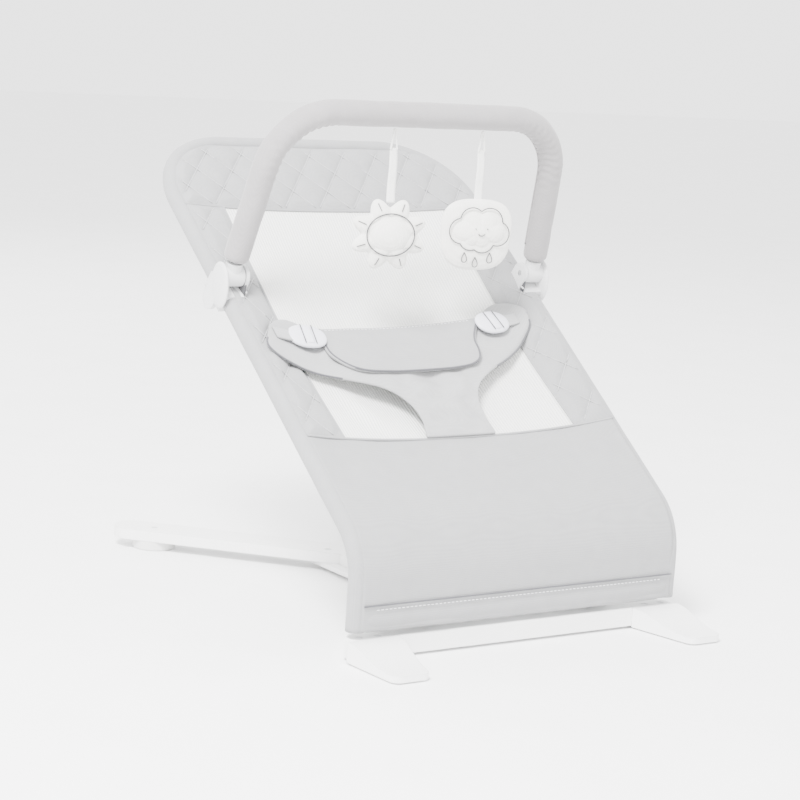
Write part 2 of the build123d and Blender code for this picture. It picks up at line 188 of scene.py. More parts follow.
def slab(name, top, bottom, rows, columns, material, body, levels=0):
    """A closed thin piece between two surfaces, each a function of (row, column) from 0 to 1."""
    verts = []
    for surface in (top, bottom):
        for i in range(rows):
            for j in range(columns):
                verts.append(surface(i / (rows - 1), j / (columns - 1)))
    count = rows * columns
    faces = grid_faces(rows, columns) + grid_faces(rows, columns, first=count, flip=True)
    rim = [j for j in range(columns)]
    rim += [i * columns + columns - 1 for i in range(1, rows)]
    rim += [(rows - 1) * columns + j for j in range(columns - 2, -1, -1)]
    rim += [i * columns for i in range(rows - 2, 0, -1)]
    for a, b in zip(rim, rim[1:] + rim[:1]):
        faces.append([b, a, a + count, b + count])
    return make(name, verts, faces, material, body, levels)


def tube(name, path, radius, material, body, around=20, levels=0, squeeze=1.0, side=None):
    """A closed round piece along a list of points. radius is a function of (share of length, angle)."""
    verts = []
    count = len(path)
    normal = None
    for i, point in enumerate(path):
        along = (path[min(i + 1, count - 1)] - path[max(i - 1, 0)]).normalized()
        if normal is None:
            normal = (side or Vector((0.3, 0.2, 0.9))).cross(along).normalized()
        normal = (normal - along * normal.dot(along)).normalized()
        other = along.cross(normal)
        for j in range(around):
            angle = 2 * math.pi * j / around
            r = radius(i / (count - 1), angle)
            verts.append(point + normal * (r * math.cos(angle)) + other * (r * squeeze * math.sin(angle)))
    faces = grid_faces(count, around, wrap=True)
    faces.append(list(range(around))[::-1])
    faces.append([(count - 1) * around + j for j in range(around)])
    return make(name, verts, faces, material, body, levels)


def arc(centre, start, end, steps):
    """Points on a circular arc between two radius vectors, both ends included."""
    angle = start.angle(end)
    return [
        centre + (start * math.sin((1 - t) * angle) + end * math.sin(t * angle)) / math.sin(angle)
        for t in (i / steps for i in range(steps + 1))
    ]


def straight(a, b, step=0.006):
    count = max(2, int((b - a).length / step))
    return [a.lerp(b, i / count) for i in range(count + 1)]


def dome(name, outline, height, back, place, material, body, rings=7, levels=1, power=0.5):
    """A stuffed or moulded shape: a closed outline that swells to height in front and to back behind.
    place turns (x, y, out) into a point."""
    verts = []
    count = len(outline)
    shares = [math.sin(math.pi / 2 * (i + 1) / rings) for i in range(rings)]
    for side_height in (height, -back):
        start = len(verts)
        for share in shares if side_height == height else shares[:-1]:
            swell = side_height * (1 - share**2) ** power
            for x, y in outline:
                verts.append(place(x * share, y * share, swell))
        verts.append(place(0, 0, side_height))
        if side_height == height:
            front = start
            front_mid = len(verts) - 1
        else:
            rear = start
            rear_mid = len(verts) - 1
    faces = grid_faces(rings, count, wrap=True, first=front, flip=True)
    faces += grid_faces(rings - 1, count, wrap=True, first=rear)
    edge = front + (rings - 1) * count
    inner = rear + (rings - 2) * count
    for j in range(count):
        k = (j + 1) % count
        faces.append([front + k, front_mid, front + j][::-1])
        faces.append([rear + j, rear_mid, rear + k][::-1])
        faces.append([inner + j, inner + k, edge + k, edge + j])
    piece = make(name, verts, faces, material, body, levels)
    return piece


# ---------------------------------------------------------------- materials
def node_material(name, colour, roughness, **settings):
    material = bpy.data.materials.new(name)
    material.use_nodes = True
    nodes = material.node_tree.nodes
    shader = nodes["Principled BSDF"]
    shader.inputs["Base Color"].default_value = (*colour, 1)
    shader.inputs["Roughness"].default_value = roughness
    for key, value in settings.items():
        shader.inputs[key.replace("_", " ")].default_value = value
    return material, nodes, material.node_tree.links, shader


def tinted(nodes, links, shader, colour, amount, scale):
    """Uneven colour: the base colour varied by soft noise."""
    coords = nodes.new("ShaderNodeTexCoord")
    speckle = nodes.new("ShaderNodeTexNoise")
    speckle.inputs["Scale"].default_value = scale
    speckle.inputs["Detail"].default_value = 5
    ramp = nodes.new("ShaderNodeValToRGB")
    ramp.color_ramp.elements[0].position = 0.3
    ramp.color_ramp.elements[1].position = 0.7
    ramp.color_ramp.elements[0].color = (*[c * (1 - amount) for c in colour], 1)
    ramp.color_ramp.elements[1].color = (*[min(1, c * (1 + amount)) for c in colour], 1)
    links.new(coords.outputs["Object"], speckle.inputs["Vector"])
    links.new(speckle.outputs["Fac"], ramp.inputs["Fac"])
    links.new(ramp.outputs["Color"], shader.inputs["Base Color"])
    return coords, speckle, ramp


def woven(name, colour, pitch=0.0011, bump=0.25, tilt=0.0, variation=0.03, sheen=0.25, rib=False, groove_shade=1.0):
    """Cloth: two crossing sets of threads in the bump and a faint painted shade in the grooves between them,
    or ribs if rib is true.
    """
    material, nodes, links, shader = node_material(
        name, colour, 0.85, Sheen_Weight=sheen, Sheen_Roughness=0.5
    )
    coords, speckle, ramp = tinted(nodes, links, shader, colour, variation, 60)
    mapping = nodes.new("ShaderNodeMapping")
    mapping.inputs["Rotation"].default_value = (RISE if tilt == 0 else 0, 0, tilt)
    links.new(coords.outputs["Object"], mapping.inputs["Vector"])
    waves = []
    for axis in ("X",) if rib else ("X", "Y"):
        wave = nodes.new("ShaderNodeTexWave")
        wave.wave_type = "BANDS"
        wave.bands_direction = axis
        wave.inputs["Scale"].default_value = 0.314 / pitch
        wave.inputs["Distortion"].default_value = 0.6
        wave.inputs["Detail"].default_value = 1.0
        links.new(mapping.outputs["Vector"], wave.inputs["Vector"])
        waves.append(wave)
    height = waves[0].outputs["Fac"]
    if not rib:
        mix = nodes.new("ShaderNodeMath")
        mix.operation = "MULTIPLY"
        links.new(waves[0].outputs["Fac"], mix.inputs[0])
        links.new(waves[1].outputs["Fac"], mix.inputs[1])
        height = mix.outputs[0]
    fuzz = nodes.new("ShaderNodeTexNoise")
    fuzz.inputs["Scale"].default_value = 900
    links.new(coords.outputs["Object"], fuzz.inputs["Vector"])
    add = nodes.new("ShaderNodeMath")
    add.operation = "MULTIPLY_ADD"
    add.inputs[1].default_value = 0.5
    links.new(fuzz.outputs["Fac"], add.inputs[0])
    links.new(height, add.inputs[2])
    bumper = nodes.new("ShaderNodeBump")
    bumper.inputs["Strength"].default_value = bump
    bumper.inputs["Distance"].default_value = 0.0006
    links.new(add.outputs[0], bumper.inputs["Height"])
    links.new(bumper.outputs["Normal"], shader.inputs["Normal"])
    # painted shade: the colour is darkened where the weave is low, in the grooves between the threads
    groove_shade_mix = nodes.new("ShaderNodeMix")
    groove_shade_mix.data_type = "RGBA"
    groove_shade_mix.blend_type = "MULTIPLY"
    groove_shade_mix.inputs["Factor"].default_value = 0.12 * groove_shade
    links.new(ramp.outputs["Color"], groove_shade_mix.inputs["A"])
    links.new(height, groove_shade_mix.inputs["B"])
    links.new(groove_shade_mix.outputs["Result"], shader.inputs["Base Color"])
    return material


def moulded(name, colour, roughness=0.4, grain=0.15, coat=0.0, scale=350):
    """Moulded plastic or rubber: fine grain in the bump, slightly uneven gloss."""
    material, nodes, links, shader = node_material(name, colour, roughness, Coat_Weight=coat, IOR=1.48)
    coords, speckle, ramp = tinted(nodes, links, shader, colour, 0.015, 9)
    gloss = nodes.new("ShaderNodeMapRange")
    gloss.inputs["To Min"].default_value = roughness - 0.06
    gloss.inputs["To Max"].default_value = roughness + 0.08
    links.new(speckle.outputs["Fac"], gloss.inputs["Value"])
    links.new(gloss.outputs["Result"], shader.inputs["Roughness"])
    grains = nodes.new("ShaderNodeTexNoise")
    grains.inputs["Scale"].default_value = scale
    links.new(coords.outputs["Object"], grains.inputs["Vector"])
    bumper = nodes.new("ShaderNodeBump")
    bumper.inputs["Strength"].default_value = grain
    bumper.inputs["Distance"].default_value = 0.0003
    links.new(grains.outputs["Fac"], bumper.inputs["Height"])
    soft_edge = nodes.new("ShaderNodeBevel")
    soft_edge.samples = 4
    soft_edge.inputs["Radius"].default_value = 0.0015
    links.new(soft_edge.outputs["Normal"], bumper.inputs["Normal"])
    links.new(bumper.outputs["Normal"], shader.inputs["Normal"])
    return material


def metal(name, colour, roughness=0.35, metallic=1.0):
    """Plated or powder-coated metal with faint draw marks."""
    material, nodes, links, shader = node_material(name, colour, roughness, Metallic=metallic)
    coords, speckle, ramp = tinted(nodes, links, shader, colour, 0.05, 40)
    marks = nodes.new("ShaderNodeTexNoise")
    marks.inputs["Scale"].default_value = 500
    links.new(coords.outputs["Object"], marks.inputs["Vector"])
    bumper = nodes.new("ShaderNodeBump")
    bumper.inputs["Strength"].default_value = 0.1
    bumper.inputs["Distance"].default_value = 0.0002
    links.new(marks.outputs["Fac"], bumper.inputs["Height"])
    links.new(bumper.outputs["Normal"], shader.inputs["Normal"])
    return material


QUILT = woven("quilted_cotton", (0.315, 0.316, 0.321), sheen=0.12)
PLAIN = woven("plain_cotton", (0.320, 0.321, 0.326), sheen=0.12)
SLEEVE = woven("edge_cotton", (0.318, 0.319, 0.324), tilt=0.4, sheen=0.12)
MESH = woven("ribbed_mesh", (0.83, 0.83, 0.81), pitch=0.0036, bump=1.0, rib=True, variation=0.015, groove_shade=1.3)
LAYER = woven("crotch_cotton", (0.375, 0.376, 0.380), sheen=0.12)
BAR = woven("bar_cotton", (0.300, 0.286, 0.290), pitch=0.0012, tilt=0.7, variation=0.04)
PLUSH = woven("toy_plush", (0.84, 0.83, 0.79), pitch=0.0016, bump=0.5, tilt=0.3, sheen=0.5)
TAPE = woven("ribbon_tape", (0.80, 0.80, 0.78), pitch=0.0008, tilt=0.2)
PIPING = woven("piping", (0.085, 0.085, 0.095), pitch=0.0007, tilt=0.5)
THREAD = woven("thread", (0.065, 0.065, 0.07), pitch=0.0005, tilt=0.9)
QUILT_THREAD = woven("quilt_thread", (0.46, 0.461, 0.468), pitch=0.0005, tilt=0.9)
LIGHT_THREAD = woven("light_thread", (0.80, 0.80, 0.82), pitch=0.0005, tilt=0.9, sheen=0.6)
BASE = moulded("base_plastic", (0.86, 0.86, 0.855), 0.38, coat=0.1)
CLIP = moulded("clip_plastic", (0.62, 0.62, 0.625), 0.42)
BUCKLE_WHITE = moulded("buckle_plastic", (0.66, 0.66, 0.72), 0.32, coat=0.15)
RUBBER = moulded("grip_rubber", (0.70, 0.70, 0.69), 0.75, grain=0.5, scale=220)
STEEL = metal("zinc_steel", (0.62, 0.63, 0.64), 0.38)
COATED = metal("powder_coat", (0.70, 0.70, 0.71), 0.45, metallic=0.1)

CAD_FINISH = {
    "base_plastic": BASE,
    "grip_rubber": RUBBER,
    "screw_steel": STEEL,
    "hinge_steel": STEEL,
    "frame_tube": COATED,
    "quilted_fabric": QUILT,
    "mesh_fabric": MESH,
    "plain_fabric": PLAIN,
    "strap_webbing": TAPE,
    "buckle_plastic": BUCKLE_WHITE,
    "clip_plastic": CLIP,
    "bar_fabric": BAR,
    "toy_plush": PLUSH,
}
slot_of = {part["node"]: part["material_slot"] for part in frame["record"]["subparts"]}
for node_name, node in frame["nodes"].items():
    finish = CAD_FINISH[slot_of[node_name]]
    if node.material_slots:
        for entry in node.material_slots:
            entry.material = finish
    else:
        node.data.materials.append(finish)

# ---------------------------------------------------------------- camera, light, floor
AZIMUTH, ELEVATION, ROLL = math.radians(-34.469), math.radians(9.5), math.radians(3.70)
camera_data = bpy.data.cameras.new("camera")
camera = bpy.data.objects.new("camera", camera_data)
bpy.context.scene.collection.objects.link(camera)
camera_data.lens, camera_data.sensor_width = 101.86, 36.0
level_reach = math.cos(ELEVATION)
backwards = Vector((math.sin(AZIMUTH) * level_reach, -math.cos(AZIMUTH) * level_reach, math.sin(ELEVATION)))
level = Vector((0, 0, 1)).cross(backwards).normalized()
upright = backwards.cross(level)
right = level * math.cos(ROLL) + upright * math.sin(ROLL)
up = upright * math.cos(ROLL) - level * math.sin(ROLL)
turned = Matrix((right, up, backwards)).transposed().to_4x4()
camera.matrix_world = Matrix.Translation((-1.3962, -1.7089 + FRONT, 0.6243)) @ turned
bpy.context.scene.camera = camera

floor = bpy.data.objects.new("floor", bpy.data.meshes.new("floor"))
floor.data.from_pydata([(-12, -12, 0), (12, -12, 0), (12, 12, 0), (-12, 12, 0)], [], [(0, 1, 2, 3)])
floor.data.materials.append(moulded("floor_paper", (0.93, 0.93, 0.93), 0.9))
bpy.context.scene.collection.objects.link(floor)


def area_light(name, place, target, size, power):
    data = bpy.data.lights.new(name, "AREA")
    data.energy, data.size = power, size
    light = bpy.data.objects.new(name, data)
    light.location = place
    light.rotation_euler = (Vector(target) - Vector(place)).to_track_quat("-Z", "Y").to_euler()
    bpy.context.scene.collection.objects.link(light)


area_light("key", (-1.5, -1.0, 2.4), (0, 0, 0.2), 0.9, 330)
area_light("fill", (2.4, -1.2, 1.6), (0, 0, 0.2), 2.4, 30)
area_light("back", (0.4, 2.6, 2.2), (0, 0, 0.2), 2.0, 70)
world = bpy.data.worlds.new("studio")
world.use_nodes = True
world.node_tree.nodes["Background"].inputs["Color"].default_value = (1, 1, 1, 1)
world.node_tree.nodes["Background"].inputs["Strength"].default_value = 3.1
bpy.context.scene.world = world


# ---------------------------------------------------------------- cover
def quilted(x, s, pitch=0.046, height=0.0058):
    """Height of a diamond quilt: pillows between two crossing sets of stitched lines."""
    a = abs(math.sin(math.pi * (x + 0.8 * s) / pitch))
    b = abs(math.sin(math.pi * (x - 0.8 * s) / pitch))
    return height * (a * b) ** 0.4


def cloth_slab(name, span, width, thickness, puff, material, rows, columns, body="seat"):
    """A panel of the cover. span is (low, high) along the slope, width(s) the (left, right) edges,
    puff(x, s) the height of the front face above the thickness."""
    low, high = span

    def place(row, column, lift):
        s = lerp(low, high, row)
        left, right_edge = width(s)
        x = lerp(left, right_edge, column)
        edge = min(1.0, min(abs(s - low), abs(high - s), abs(x - left), abs(right_edge - x)) / 0.010)
        swell = puff(x, s) * edge if lift > 0 else 0.0
        crumple = 0.0011 * ripple((x, s, 0), 0.045, 1.0)
        return on_seat(x, s, sag(x, s) + lift + swell + crumple)

    return slab(
        name, lambda i, j: place(i, j, thickness / 2), lambda i, j: place(i, j, -thickness / 2),
        rows, columns, material, body,
    )


def head_width(s):
    """Half width of the cover at the head, where the corners are rounded."""
    corner = HEAD_TOP - HEAD_R
    if s <= corner:
        return EDGE_X
    drop = min(1.0, (s - corner) / (HEAD_R - 0.008))
    return EDGE_X - (HEAD_R - 0.008) * (1 - math.sqrt(1 - drop * drop))


head_cover = cloth_slab(
    "head_cover", (SEAM_HEAD, HEAD_TOP - 0.009), lambda s: (-head_width(s), head_width(s)),
    0.004, quilted, QUILT, 90, 230,
)
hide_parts("head_panel")

for side, sign in (("left", -1), ("right", 1)):
    side_cover = cloth_slab(
        f"side_cover_{side}", (SEAM_LOW, SEAM_HEAD),
        lambda s, sign=sign: (sign * PANEL_X, sign * EDGE_X) if sign > 0 else (-EDGE_X, -PANEL_X),
        0.004, quilted, QUILT, 200, 30,
    )
    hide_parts(f"side_panel_{side}")


QUILT_PITCH, QUILT_LEAN = 0.046, 0.8


def quilt_lines(name, span, width):
    """The stitched lines of the quilt over one panel, all in one piece of thread."""
    verts, faces = [], []
    around, step = 5, 0.004
    low, high = span
    for lean in (-QUILT_LEAN, QUILT_LEAN):
        reach = int((EDGE_X + abs(lean) * high) / QUILT_PITCH) + 2
        for k in range(-reach, reach + 1):
            run = []
            for i in range(int((high - low) / step) + 1):
                s = low + i * step
                x = k * QUILT_PITCH - lean * s
                left, right_edge = width(s)
                if left + 0.004 < x < right_edge - 0.004:
                    run.append(on_seat(x, s, sag(x, s) + 0.0036))
            if len(run) < 4:
                continue
            first = len(verts)
            for i, point in enumerate(run):
                along = (run[min(i + 1, len(run) - 1)] - run[max(i - 1, 0)]).normalized()
                normal = along.orthogonal().normalized()
                other = along.cross(normal)
                for j in range(around):
                    angle = 2 * math.pi * j / around
                    verts.append(point + (normal * math.cos(angle) + other * math.sin(angle)) * 0.00055)
            faces += grid_faces(len(run), around, wrap=True, first=first)
            faces.append([first + j for j in range(around)][::-1])
            faces.append([first + (len(run) - 1) * around + j for j in range(around)])
    return make(name, verts, faces, QUILT_THREAD, "seat")


head_span = (SEAM_HEAD + 0.004, HEAD_TOP - 0.016)
quilt_lines("head_quilting", head_span, lambda s: (-head_width(s), head_width(s)))
quilt_lines("side_quilting_left", (SEAM_LOW + 0.004, SEAM_HEAD - 0.004), lambda s: (-EDGE_X, -PANEL_X))
quilt_lines("side_quilting_right", (SEAM_LOW + 0.004, SEAM_HEAD - 0.004), lambda s: (PANEL_X, EDGE_X))


def mesh_wrinkle(x, s):
    """Soft folds of the insert, stronger low down beside the crotch panel."""
    low = 1 - smoothstep(0.15, 0.33, s)
    fold = 0.0065 * low * ripple((x * 1.4 + s * 0.6, s * 0.5, 0), 0.05, 4.0)
    return fold + 0.0012 * ripple((x, s, 1), 0.09, 9.0)


def mesh_point(row, column, lift):
    s = lerp(SEAM_LOW, SEAM_HEAD, row)
    x = lerp(-PANEL_X, PANEL_X, column)
    edge = min(1.0, 10 * min(row, 1 - row, column, 1 - column))
    return on_seat(x, s, sag(x, s) + lift + mesh_wrinkle(x, s) * edge)


mesh_cover = slab(
    "mesh_cover", lambda i, j: mesh_point(i, j, 0.0014), lambda i, j: mesh_point(i, j, -0.0014),
    110, 90, MESH, "seat",
)
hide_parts("mesh_insert")


def lower_wrinkle(x, s):
    top = smoothstep(0.02, 0.13, s)
    pull = 0.0034 * top * ripple((x * 0.7, s * 2.2, 0), 0.06, 2.0)
    return pull + 0.0008 * ripple((x, s, 0), 0.05, 6.0)


HEM_SEAM_Z, HEM_LOW_Z = 0.057, 0.031
DROP_START = TANGENT - KNEE_R * TURN  # where the cover starts to hang straight down
DROP_TOP_Z = profile(DROP_START)[0].z
LOW_EDGE = DROP_START - (DROP_TOP_Z - HEM_LOW_Z)
lower_cover = cloth_slab(
    "lower_cover", (LOW_EDGE, SEAM_LOW), lambda s: (-EDGE_X, EDGE_X),
    0.003, lower_wrinkle, PLAIN, 80, 110,
)
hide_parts("lower_panel")


def frame_path():
    """The cover's edge along both rails and round the head bow, from hem corner to hem corner."""
    steps = 120
    left = []
    bottom, corner = LOW_EDGE - 0.001, HEAD_TOP - HEAD_R
    left += [on_seat(-RAIL_X, lerp(bottom, corner, i / steps)) for i in range(steps)]
    bend = []
    for i in range(25):
        angle = math.pi / 2 * i / 24
        x = -RAIL_X + HEAD_R * (1 - math.cos(angle))
        bend.append(on_seat(x, corner + HEAD_R * math.sin(angle)))
    half = left + bend
    mirrored = [Vector((-p.x, p.y, p.z)) for p in reversed(half)]
    return half + straight(half[-1], mirrored[0], 0.008)[1:-1] + mirrored


edge_points = frame_path()
cover_edge = tube(
    "cover_edge", edge_points,
    lambda t, a: SLEEVE_R + 0.0004 * ripple((40 * t, math.cos(a), math.sin(a)), 1.1, 3.0),
    SLEEVE, "seat", around=24,
)

def seam_line(name, route, radius, material, body="seat"):
    return tube(name, route, lambda t, a: radius, material, body, around=8)


for side, sign in (("left", -1), ("right", 1)):
    route = [on_seat(sign * (EDGE_X - 0.0115), s, sag(EDGE_X - 0.0115, s) + 0.0021) for s in
             [lerp(SEAM_LOW, HEAD_TOP - HEAD_R, i / 120) for i in range(121)]]
    seam_line(f"edge_seam_{side}", route, 0.0009, QUILT)
    route = [on_seat(sign * PANEL_X, s, sag(PANEL_X, s) + 0.0024) for s in
             [lerp(SEAM_LOW, SEAM_HEAD, i / 80) for i in range(81)]]
    seam_line(f"mesh_seam_{side}", route, 0.0012, PLAIN)


def across_seam(name, s, half, radius, material, lift=0.0022):
    route = [on_seat(x, s, sag(x, s) + lift) for x in [lerp(-half, half, i / 90) for i in range(91)]]
    return seam_line(name, route, radius, material)


across_seam("head_seam", SEAM_HEAD, EDGE_X, 0.0013, QUILT)
across_seam("cross_seam", SEAM_LOW, EDGE_X, 0.0014, PLAIN)


def stitches(name, route, body, material=LIGHT_THREAD, length=0.0032, gap=0.0018, radius=0.00042):
    """Short thread runs along a route, all in one piece."""
    verts, faces = [], []
    travelled, around = 0.0, 6
    total = sum((b - a).length for a, b in zip(route, route[1:]))

    def at(distance):
        run = 0.0
        for a, b in zip(route, route[1:]):
            step = (b - a).length
            if run + step >= distance and step > 0:
                return a.lerp(b, (distance - run) / step), (b - a).normalized()
            run += step
        return route[-1], (route[-1] - route[-2]).normalized()

    while travelled + length < total:
        first = len(verts)
        for share, size in ((0, 0.3), (0.2, 1), (0.8, 1), (1, 0.3)):
            point, along = at(travelled + share * length)
            normal = Vector((0.31, 0.2, 0.93)).cross(along).normalized()
            other = along.cross(normal)
            for j in range(around):
                angle = 2 * math.pi * j / around
                verts.append(point + (normal * math.cos(angle) + other * math.sin(angle)) * radius * size)
        faces += grid_faces(4, around, wrap=True, first=first)
        faces.append([first + j for j in range(around)][::-1])
        faces.append([first + 3 * around + j for j in range(around)])
        travelled += length + gap
    return make(name, verts, faces, material, body)


# the hem: a flattened sleeve round the front cross tube
HEM_HALF, HEM_DEPTH, HEM_TALL = 0.200, 0.0116, 0.0150
rows, columns = 91, 28
verts = []
for i in range(rows):
    x = lerp(-HEM_HALF, HEM_HALF, i / (rows - 1))
    closing = max(0.0, 1 - (1 - min(1, 22 * min(i, rows - 1 - i) / (rows - 1))) ** 2)
    ends = 0.35 + 0.65 * math.sqrt(closing)
    for j in range(columns):
        a = 2 * math.pi * j / columns
        swell = 1 + 0.03 * ripple((x, math.cos(a) * 0.02, math.sin(a) * 0.02), 0.03, 5.0)
        forward, upward = HEM_DEPTH * math.cos(a) * ends * swell, HEM_TALL * math.sin(a) * ends * swell
        verts.append(Vector((x, KNEE.y + forward, HEM_Z + 0.002 + upward)))
faces = grid_faces(rows, columns, wrap=True)
faces.append(list(range(columns))[::-1])
faces.append([(rows - 1) * columns + j for j in range(columns)])
hem_cover = make("hem_cover", verts, faces, PLAIN, "seat", levels=1)
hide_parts("hem_sleeve")
HEM_FACE = KNEE.y - 0.0118
hem_line = [Vector((x, HEM_FACE, HEM_SEAM_Z)) for x in [lerp(-0.197, 0.197, i / 80) for i in range(81)]]
# painted shade: a dark line stands in for the shade in the gap where the lower panel meets the hem
seam_line("hem_gap_shade", hem_line, 0.0009, PIPING)
front_line = [p + Vector((0, -0.0004, -0.0045)) for p in hem_line[3:-3]]
stitches("hem_stitches", front_line, "seat")

# ---------------------------------------------------------------- crotch panel, wings, straps
TAIL_OUTLINE = [
    (SEAM_LOW, 0.044), (0.165, 0.041), (0.188, 0.046), (0.208, 0.062), (0.226, 0.092),
    (0.246, 0.132), (0.264, 0.160), (0.282, 0.176), (0.296, 0.180), (0.304, 0.179),
]
PANEL_OUTLINE = [
    (0.2275, 0.040), (0.229, 0.062), (0.235, 0.080), (0.248, 0.092), (0.268, 0.100), (0.290, 0.106),
    (0.306, 0.110),
]


def worn(x, s):
    """How far the layers sit up or down the slope and to one side: one buckle is pulled higher."""
    share = smoothstep(SEAM_LOW, 0.29, s)
    return share * -0.020 * (1 - 0.85 * smoothstep(0.26, 0.31, s)), share * (0.062 * x - 0.001)


def layer_height(x, s):
    """Height of the crotch layers: close to the cover at the seam and the sides, arched up between them."""
    arch = 0.020 * math.sin(math.pi * min(1, max(0, (s - SEAM_LOW) / 0.190)))
    outer = smoothstep(0.06, 0.16, abs(x))
    return sag(x, s) + 0.0052 + lerp(arch, 0.004, outer)


def wing_lobe(across, lobe):
    """How far the upper edge of a wing stands up, rounding off at its outer corner."""
    if lobe == 0.0 or across < 0.55:
        return 0.0
    if across < 0.8:
        return lobe * smoothstep(0.55, 0.8, across)
    return (lobe + 0.014) * math.sqrt(max(0.0, 1 - ((across - 0.8) / 0.2) ** 2)) - 0.014


def layer(name, outline, lift, thickness, material, rows, columns, folds, lobe=0.0):
    low, high = outline[0][0], outline[-1][0]

    def place(row, column, offset):
        s = lerp(low, high, row)
        across = lerp(-1, 1, column)
        x = across * curve_through(outline, s)
        s += row**3 * wing_lobe(abs(across), lobe)
        shift_x, shift_s = worn(x, s)
        x, s = x + shift_x, s + shift_s
        height = layer_height(x, s) + lift
        edge = min(1.0, 5 * min(column, 1 - column, row, 1 - row))
        wave = folds * edge * ripple((x * 1.2 + 0.4 * s, s * 1.6, 0), 0.035, 8.0 + lift * 900)
        return on_seat(x, s, height + offset + wave)

    return slab(
        name, lambda i, j: place(i, j, thickness / 2), lambda i, j: place(i, j, -thickness / 2),
        rows, columns, material, "seat",
    ), place


tail_cover, tail_place = layer(
    "crotch_layer", TAIL_OUTLINE, 0.0, 0.0022, LAYER, 90, 120, 0.0055, lobe=0.020,
)
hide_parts("crotch_tail", "leg_wing_left", "leg_wing_right")
front_cover, front_place = layer(
    "crotch_front", PANEL_OUTLINE, 0.0045, 0.0030, PLAIN, 44, 80, 0.0016,
)
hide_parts("crotch_panel")


def outline_route(place, offset, inset=0.012, lower=True, step=70):
    """Points round a layer's sides and lower edge."""
    sides = [place(1 - i / step, inset, offset) for i in range(step + 1)]
    low = [place(0.0, lerp(inset, 1 - inset, i / step), offset) for i in range(1, step)] if lower else []
    return sides + low + [place(i / step, 1 - inset, offset) for i in range(step + 1)]


seam_line("crotch_piping", outline_route(front_place, 0.0012), 0.0013, PIPING)
for side, inset in (("left", 0.0), ("right", 1.0)):
    wing_edge = [tail_place(lerp(0.55, 1.0, i / 60), inset, 0.0006) for i in range(61)]
    seam_line(f"wing_piping_{side}", wing_edge, 0.0011, PIPING)
top_line = [front_place(0.97, lerp(0.04, 0.96, i / 60), 0.0016) for i in range(61)]
stitches("crotch_stitches", top_line, "seat")


def oval(width, height, count=48, squareness=2.0):
    points = []
    for i in range(count):
        a = 2 * math.pi * i / count
        c, s = math.cos(a), math.sin(a)
        points.append((width / 2 * math.copysign(abs(c) ** (2 / squareness), c),
                       height / 2 * math.copysign(abs(s) ** (2 / squareness), s)))
    return points


for side, sign in (("left", -1), ("right", 1)):
    centre_x, centre_s = BUCKLES[side]
    tilt = math.radians(8) * sign
    rest = layer_height(centre_x, centre_s) + 0.0085

    def buckle_place(x, y, out, cx=centre_x, cs=centre_s, tilt=tilt, rest=rest):
        c, s = math.cos(tilt), math.sin(tilt)
        return on_seat(cx + x * c - y * s, cs + x * s + y * c, rest + out)

    shell = dome(f"buckle_{side}", oval(0.046, 0.033, squareness=2.2), 0.0042, 0.0036, buckle_place,
                 BUCKLE_WHITE, "seat", rings=7, power=0.35)
    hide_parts(f"buckle_cover_{side}", f"buckle_tongue_{side}")

    def bar_place(x, y, out, cx=centre_x, cs=centre_s, tilt=tilt, rest=rest):
        c, s = math.cos(tilt), math.sin(tilt)
        return on_seat(cx + x * c - y * s, cs + x * s + y * c, rest + 0.0031 + out)

    button = dome(f"press_bar_{side}", oval(0.0100, 0.0262, squareness=5), 0.0022, 0.0022, bar_place,
                  BUCKLE_WHITE, f"button_{side}", rings=5, power=0.3)
    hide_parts(f"buckle_button_{side}")
    # painted shade: two dark thread-coloured lines stand in for the shade of the slots either side of the
    # press bar; the shell itself has no slot
    for edge in (-1, 1):
        line = [buckle_place(edge * 0.0064, lerp(-0.0135, 0.0135, i / 12), 0.0043) for i in range(13)]
        letter = "a" if edge < 0 else "b"
        seam_line(f"buckle_slot_shade_{side}_{letter}", line, 0.0006, THREAD)

    def strap_point(row, column, lift, sign=sign, cx=centre_x, cs=centre_s):
        x = cx + sign * lerp(0.012, 0.038, row)
        s = cs + lerp(-0.008, 0.008, column) + 0.006 * row
        height = layer_height(x, s) + lerp(0.0075, 0.0022, row)
        return on_seat(x, s, height + lift)

    strap = slab(f"strap_{side}", lambda i, j: strap_point(i, j, 0.0009),
                 lambda i, j: strap_point(i, j, -0.0009),
                 24, 8, LAYER, "seat")
    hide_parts(f"waist_strap_{side}")

# ---------------------------------------------------------------- toy bar
pivot = on_seat(0, CLIP_S, CLIP_RISE)


def on_bar(x, up_leg):
    return Vector((x, pivot.y, pivot.z)) + BAR_LEG * up_leg


def rounded(points, radii, step):
    """Points along a line through these corners, each rounded to its radius."""
    route = [points[0]]
    for before, corner, after, radius in zip(points, points[1:], points[2:], radii):
        back_way, on_way = (before - corner).normalized(), (after - corner).normalized()
        half_angle = back_way.angle(on_way) / 2
        cut = radius / math.tan(half_angle)
        centre = corner + (back_way + on_way).normalized() * (radius / math.sin(half_angle))
        start, end = corner + back_way * cut, corner + on_way * cut
        route += straight(route[-1], start, step)[1:]
        steps = max(6, int(radius * (math.pi - 2 * half_angle) / step))
        route += arc(centre, start - centre, end - centre, steps)[1:]
    return route + straight(route[-1], points[-1], step)[1:]


SLEEVE_START = 0.0176
bar_corners = [
    on_bar(-RAIL_X, SLEEVE_START), on_bar(-BAR_TOP_X, BAR_HEIGHT),
    on_bar(BAR_TOP_X, BAR_HEIGHT), on_bar(RAIL_X, SLEEVE_START),
]
bar_points = rounded(bar_corners, (BAR_CORNER, BAR_CORNER), 0.0036)
bar_centre_height = on_bar(0, BAR_HEIGHT - BAR_CORNER).z


